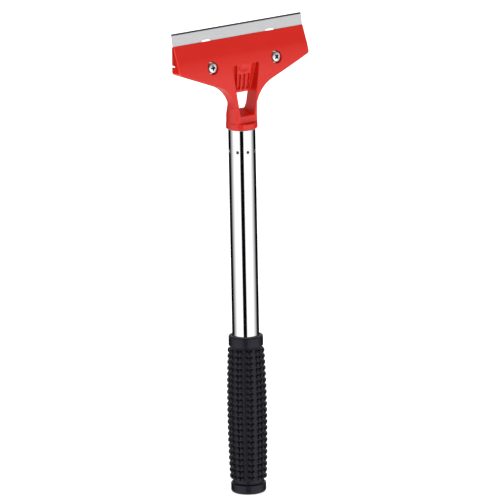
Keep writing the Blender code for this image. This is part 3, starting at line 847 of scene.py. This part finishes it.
def sheared_steel():
    """The blade's cut ends: bright above the jaw, and painted a dull dark red-brown where they lie inside
    it, for the jaw slot's shade and its red reflection.
    """
    made, nodes, links, shader = new_material("blade_sheared_end")
    marks = noise(nodes, links, coordinates(nodes, links, (1.0, 6.0, 0.5)), 3000.0)
    where = nodes.new("ShaderNodeTexCoord")
    height = size_along(nodes, links, where.outputs["Object"], "Z")
    above = spread(nodes, links, height, 0.0, 1.0, (JAW_Z - 0.5) * MM, (JAW_Z + 0.3) * MM)
    # Painted shade and painted red reflection for the part of the ends inside the jaw slot.
    slot_shade_colour = blend_colours(nodes, links, marks, (0.10, 0.008, 0.005), (0.18, 0.014, 0.009))
    shade = blend_colours(nodes, links, above, slot_shade_colour, (0.80, 0.80, 0.81))
    links.new(shade, shader.inputs["Base Color"])
    links.new(spread(nodes, links, above, 0.15, 1.0, 0.0, 1.0), shader.inputs["Metallic"])
    links.new(spread(nodes, links, marks, 0.45, 0.6), shader.inputs["Roughness"])
    shader.inputs["Specular IOR Level"].default_value = 0.1
    return made


def stainless():
    made, nodes, links, shader = new_material("fastener_stainless")
    grain = noise(nodes, links, coordinates(nodes, links, (1.0, 1.0, 1.0)), 1500.0)
    shade = blend_colours(nodes, links, grain, (0.86, 0.86, 0.87), (0.94, 0.94, 0.95))
    links.new(shade, shader.inputs["Base Color"])
    shader.inputs["Metallic"].default_value = 1.0
    links.new(spread(nodes, links, grain, 0.16, 0.26), shader.inputs["Roughness"])
    return made


def recess_shadow():
    """Painted shade: dark steel colour in the bottom of a screw's cross recess."""
    made, nodes, links, shader = new_material("fastener_recess_dark")
    grain = noise(nodes, links, coordinates(nodes, links, (1.0, 1.0, 1.0)), 1800.0)
    # Painted shade: near-black colour standing in for the shadow inside the recess.
    shade = blend_colours(nodes, links, grain, (0.010, 0.011, 0.018), (0.045, 0.047, 0.065))
    links.new(shade, shader.inputs["Base Color"])
    shader.inputs["Metallic"].default_value = 0.6
    links.new(spread(nodes, links, grain, 0.35, 0.5), shader.inputs["Roughness"])
    return made


def brass():
    made, nodes, links, shader = new_material("nut_brass")
    grain = noise(nodes, links, coordinates(nodes, links, (1.0, 1.0, 1.0)), 1200.0)
    shade = blend_colours(nodes, links, grain, (0.62, 0.42, 0.13), (0.74, 0.54, 0.20))
    links.new(shade, shader.inputs["Base Color"])
    shader.inputs["Metallic"].default_value = 1.0
    links.new(spread(nodes, links, grain, 0.24, 0.36), shader.inputs["Roughness"])
    return made


def chrome():
    """Polished chrome plate with the faintest draw lines along the tube."""
    made, nodes, links, shader = new_material("tube_chrome_plate")
    lines = noise(nodes, links, coordinates(nodes, links, (1.0, 1.0, 0.02)), 2500.0, 2.0)
    cloud = noise(nodes, links, coordinates(nodes, links, (1.0, 1.0, 0.3)), 90.0)
    shade = blend_colours(nodes, links, cloud, (0.80, 0.80, 0.81), (0.86, 0.86, 0.87))
    links.new(shade, shader.inputs["Base Color"])
    shader.inputs["Metallic"].default_value = 1.0
    links.new(spread(nodes, links, lines, 0.05, 0.09), shader.inputs["Roughness"])
    return made


def dimple_shadow():
    """Painted shade: a dark, dull steel colour in the crimp dimples."""
    made, nodes, links, shader = new_material("tube_dimple_painted_shade")
    grain = noise(nodes, links, coordinates(nodes, links, (1.0, 1.0, 1.0)), 1500.0)
    # Painted shade: near-black colour standing in for the shadow in the pits.
    shade = blend_colours(nodes, links, grain, (0.04, 0.04, 0.045), (0.10, 0.10, 0.11))
    links.new(shade, shader.inputs["Base Color"])
    shader.inputs["Metallic"].default_value = 0.8
    links.new(spread(nodes, links, grain, 0.30, 0.42), shader.inputs["Roughness"])
    return made


def rubber():
    """Soft black rubber with a fine grain."""
    made, nodes, links, shader = new_material("grip_black_rubber")
    grain = noise(nodes, links, coordinates(nodes, links, (1.0, 1.0, 1.0)), 2200.0, 2.0)
    cloud = noise(nodes, links, coordinates(nodes, links, (1.0, 1.0, 0.5)), 70.0)
    colour = blend_colours(nodes, links, cloud, (0.0045, 0.0045, 0.0065), (0.0080, 0.0078, 0.0110))
    links.new(colour, shader.inputs["Base Color"])
    links.new(spread(nodes, links, grain, 0.27, 0.36), shader.inputs["Roughness"])
    links.new(bump(nodes, links, grain, 0.00002, 0.25), shader.inputs["Normal"])
    shader.inputs["Specular IOR Level"].default_value = 0.29
    shader.inputs["Specular Tint"].default_value = (1.0, 0.93, 1.14, 1.0)
    return made


def mark_faces(obj, inside, finish):
    """Gives a second finish to the faces whose middles, in millimetres, are inside a region."""
    mesh = obj.data
    middles = np.empty(len(mesh.polygons) * 3, np.float32)
    mesh.polygons.foreach_get("center", middles)
    chosen = inside(middles.reshape(-1, 3).astype(float) / MM)
    mesh.materials.append(finish)
    mesh.polygons.foreach_set("material_index", chosen.astype(np.int32))


def dress(obj, body, finish):
    obj.data.materials.clear()
    obj.data.materials.append(finish)
    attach(obj, body)


def dress_blade():
    """The blade keeps its CAD mesh. Its ends get their own finish, with painted shade and red reflection
    where they lie inside the jaw.
    """
    for obj in bpy.context.scene.objects:
        if obj.type == "MESH" and obj.name == "blade":
            obj.data.materials.clear()
            obj.data.materials.append(brushed_steel())
            obj.data.materials.append(sheared_steel())
            ends = [int(abs(face.normal.x) > 0.99) for face in obj.data.polygons]
            obj.data.polygons.foreach_set("material_index", ends)


# ---------------------------------------------------------------- floor, light and camera

CAMERA_AZIMUTH = math.radians(-41.0)
CAMERA_ELEVATION = math.radians(12.8)
CAMERA_ROLL = math.radians(1.10)
CAMERA_DISTANCE = 3.0
TARGET_Z = 0.150
SHIFT_RIGHT = 0.00353
SHIFT_UP = -0.00303
LENS_MM = 367.0
FLOOR_HALF = 30.0
FLOOR_Z = -0.0002
DARK_CARDS = ((-43.8, 15.5, 1.5), (139.0, 85.0, 22.0))


def camera_axes():
    a, e, r = CAMERA_AZIMUTH, CAMERA_ELEVATION, CAMERA_ROLL
    back = Vector((math.sin(a) * math.cos(e), -math.cos(a) * math.cos(e), math.sin(e)))
    right = Vector((math.cos(a), math.sin(a), 0.0))
    up = back.cross(right)
    turned_right = right * math.cos(r) - up * math.sin(r)
    turned_up = right * math.sin(r) + up * math.cos(r)
    return turned_right, turned_up, back


def make_camera():
    right, up, back = camera_axes()
    data = bpy.data.cameras.new("studio_camera")
    data.sensor_width = 36.0
    data.lens = LENS_MM
    data.clip_end = 60.0
    camera = bpy.data.objects.new("studio_camera", data)
    place = Vector((0.0, 0.0, TARGET_Z)) + right * SHIFT_RIGHT + up * SHIFT_UP
    axes = Matrix((right, up, back)).transposed().to_4x4()
    camera.matrix_world = Matrix.Translation(place + back * CAMERA_DISTANCE) @ axes
    bpy.context.scene.collection.objects.link(camera)
    bpy.context.scene.camera = camera


def make_floor():
    corners = [(x * FLOOR_HALF, y * FLOOR_HALF, 0.0) for x, y in ((-1, -1), (1, -1), (1, 1), (-1, 1))]
    mesh = bpy.data.meshes.new("floor")
    mesh.from_pydata(corners, [], [(0, 1, 2, 3)])
    floor = bpy.data.objects.new("floor", mesh)
    floor.location.z = FLOOR_Z
    bpy.context.scene.collection.objects.link(floor)
    made, nodes, links, shader = new_material("pale_floor")
    cloud = noise(nodes, links, coordinates(nodes, links, (1.0, 1.0, 1.0)), 2.0)
    colour = blend_colours(nodes, links, cloud, (0.90, 0.90, 0.90), (0.93, 0.93, 0.93))
    links.new(colour, shader.inputs["Base Color"])
    shader.inputs["Roughness"].default_value = 0.9
    shader.inputs["Specular IOR Level"].default_value = 0.0
    shader.inputs["Emission Color"].default_value = (1.0, 1.0, 1.0, 1.0)
    shader.inputs["Emission Strength"].default_value = 0.75
    mesh.materials.append(made)
    floor.visible_glossy = False


def softbox(name, azimuth, elevation, distance, size, power):
    """An area light that faces the head and the handle from an azimuth and elevation in degrees."""
    a, e = math.radians(azimuth), math.radians(elevation)
    back = Vector((math.sin(a) * math.cos(e), -math.cos(a) * math.cos(e), math.sin(e)))
    data = bpy.data.lights.new(name, "AREA")
    data.shape = "RECTANGLE"
    data.size, data.size_y = size
    data.energy = power
    lamp = bpy.data.objects.new(name, data)
    lamp.location = Vector((0.0, 0.0, TARGET_Z)) + back * distance
    lamp.rotation_euler = back.to_track_quat("Z", "Y").to_euler()
    lamp.visible_camera = False
    lamp.visible_glossy = False
    bpy.context.scene.collection.objects.link(lamp)


def band(nodes, links, azimuth, centre, half, soft):
    """1 inside a band of azimuths and 0 outside it, with soft sides. All in degrees."""
    off = calc(nodes, links, "SUBTRACT", azimuth, centre)
    wrapped = calc(nodes, links, "WRAP", off, 180.0, -180.0)
    size = calc(nodes, links, "ABSOLUTE", wrapped)
    return spread(nodes, links, size, 1.0, 0.0, half - soft, half + soft)


def ray_direction(nodes, links):
    """The azimuth in degrees, and the height from -1 to 1, of the direction a ray looks in."""
    where = nodes.new("ShaderNodeTexCoord")
    parts = nodes.new("ShaderNodeSeparateXYZ")
    links.new(where.outputs["Generated"], parts.inputs[0])
    forward = calc(nodes, links, "MULTIPLY", parts.outputs["Y"], -1.0)
    angle = calc(nodes, links, "ARCTAN2", parts.outputs["X"], forward)
    return calc(nodes, links, "DEGREES", angle), parts.outputs["Z"]


def dark_cards(nodes, links, azimuth, height):
    """Two dark cards near the horizon. Steep rays from above meet them at half strength."""
    first, second = [band(nodes, links, azimuth, *card) for card in DARK_CARDS]
    either = calc(nodes, links, "MAXIMUM", first, second)
    under_top = spread(nodes, links, height, 1.0, 0.0, -0.10, 0.15)
    over_foot = spread(nodes, links, height, 0.5, 1.0, -0.45, -0.33)
    return calc(nodes, links, "MULTIPLY", calc(nodes, links, "MULTIPLY", either, under_top), over_foot)


def background(nodes, links, colour, strength):
    """A background whose colour and strength are numbers or other nodes' outputs."""
    made = nodes.new("ShaderNodeBackground")
    if isinstance(colour, tuple):
        made.inputs["Color"].default_value = (*colour, 1.0)
    else:
        links.new(colour, made.inputs["Color"])
    if isinstance(strength, float):
        made.inputs["Strength"].default_value = strength
    else:
        links.new(strength, made.inputs["Strength"])
    return made.outputs[0]


def choose(nodes, links, kind_of_ray, otherwise, when):
    """One background for a kind of ray, and another for the rest."""
    ray = nodes.new("ShaderNodeLightPath")
    made = nodes.new("ShaderNodeMixShader")
    links.new(ray.outputs[kind_of_ray], made.inputs[0])
    links.new(otherwise, made.inputs[1])
    links.new(when, made.inputs[2])
    return made.outputs[0]


def make_world():
    """White round the object, with the dark cards that the chrome mirrors as upright bands."""
    world = bpy.data.worlds.new("studio")
    world.use_nodes = True
    nodes, links = world.node_tree.nodes, world.node_tree.links
    nodes.clear()
    azimuth, height = ray_direction(nodes, links)
    overhead = spread(nodes, links, height, 0.0, 1.0, -0.05, 0.40)
    pale = blend_colours(nodes, links, overhead, (1.25, 1.25, 1.25), (0.12, 0.12, 0.13))
    cards = dark_cards(nodes, links, azimuth, height)
    shade = blend_colours(nodes, links, cards, pale, (0.003, 0.003, 0.004))
    dimming = spread(nodes, links, height, 0.55, 1.0, -0.90, -0.48)
    mirrored = background(nodes, links, shade, dimming)
    filling = background(nodes, links, (1.0, 1.0, 1.0), 0.45)
    seen = background(nodes, links, (1.0, 1.0, 1.0), 1.0)
    unseen = choose(nodes, links, "Is Glossy Ray", filling, mirrored)
    out = nodes.new("ShaderNodeOutputWorld")
    links.new(choose(nodes, links, "Is Camera Ray", unseen, seen), out.inputs["Surface"])
    bpy.context.scene.world = world


def make_studio():
    make_floor()
    make_world()
    softbox("key", -8.0, 6.0, 1.6, (0.8, 0.8), 9.6)
    softbox("fill", -95.0, 10.0, 1.8, (0.9, 0.9), 2.5)
    softbox("top", -30.0, 80.0, 1.7, (1.0, 1.0), 2.0)
    softbox("back", 150.0, 25.0, 1.8, (0.9, 0.9), 6.0)
    make_camera()
    bpy.context.scene.view_settings.view_transform = "Standard"


# ---------------------------------------------------------------- build

make_head()
make_plate()
dress_blade()
make_fasteners()
make_tube()
make_grip()
make_studio()
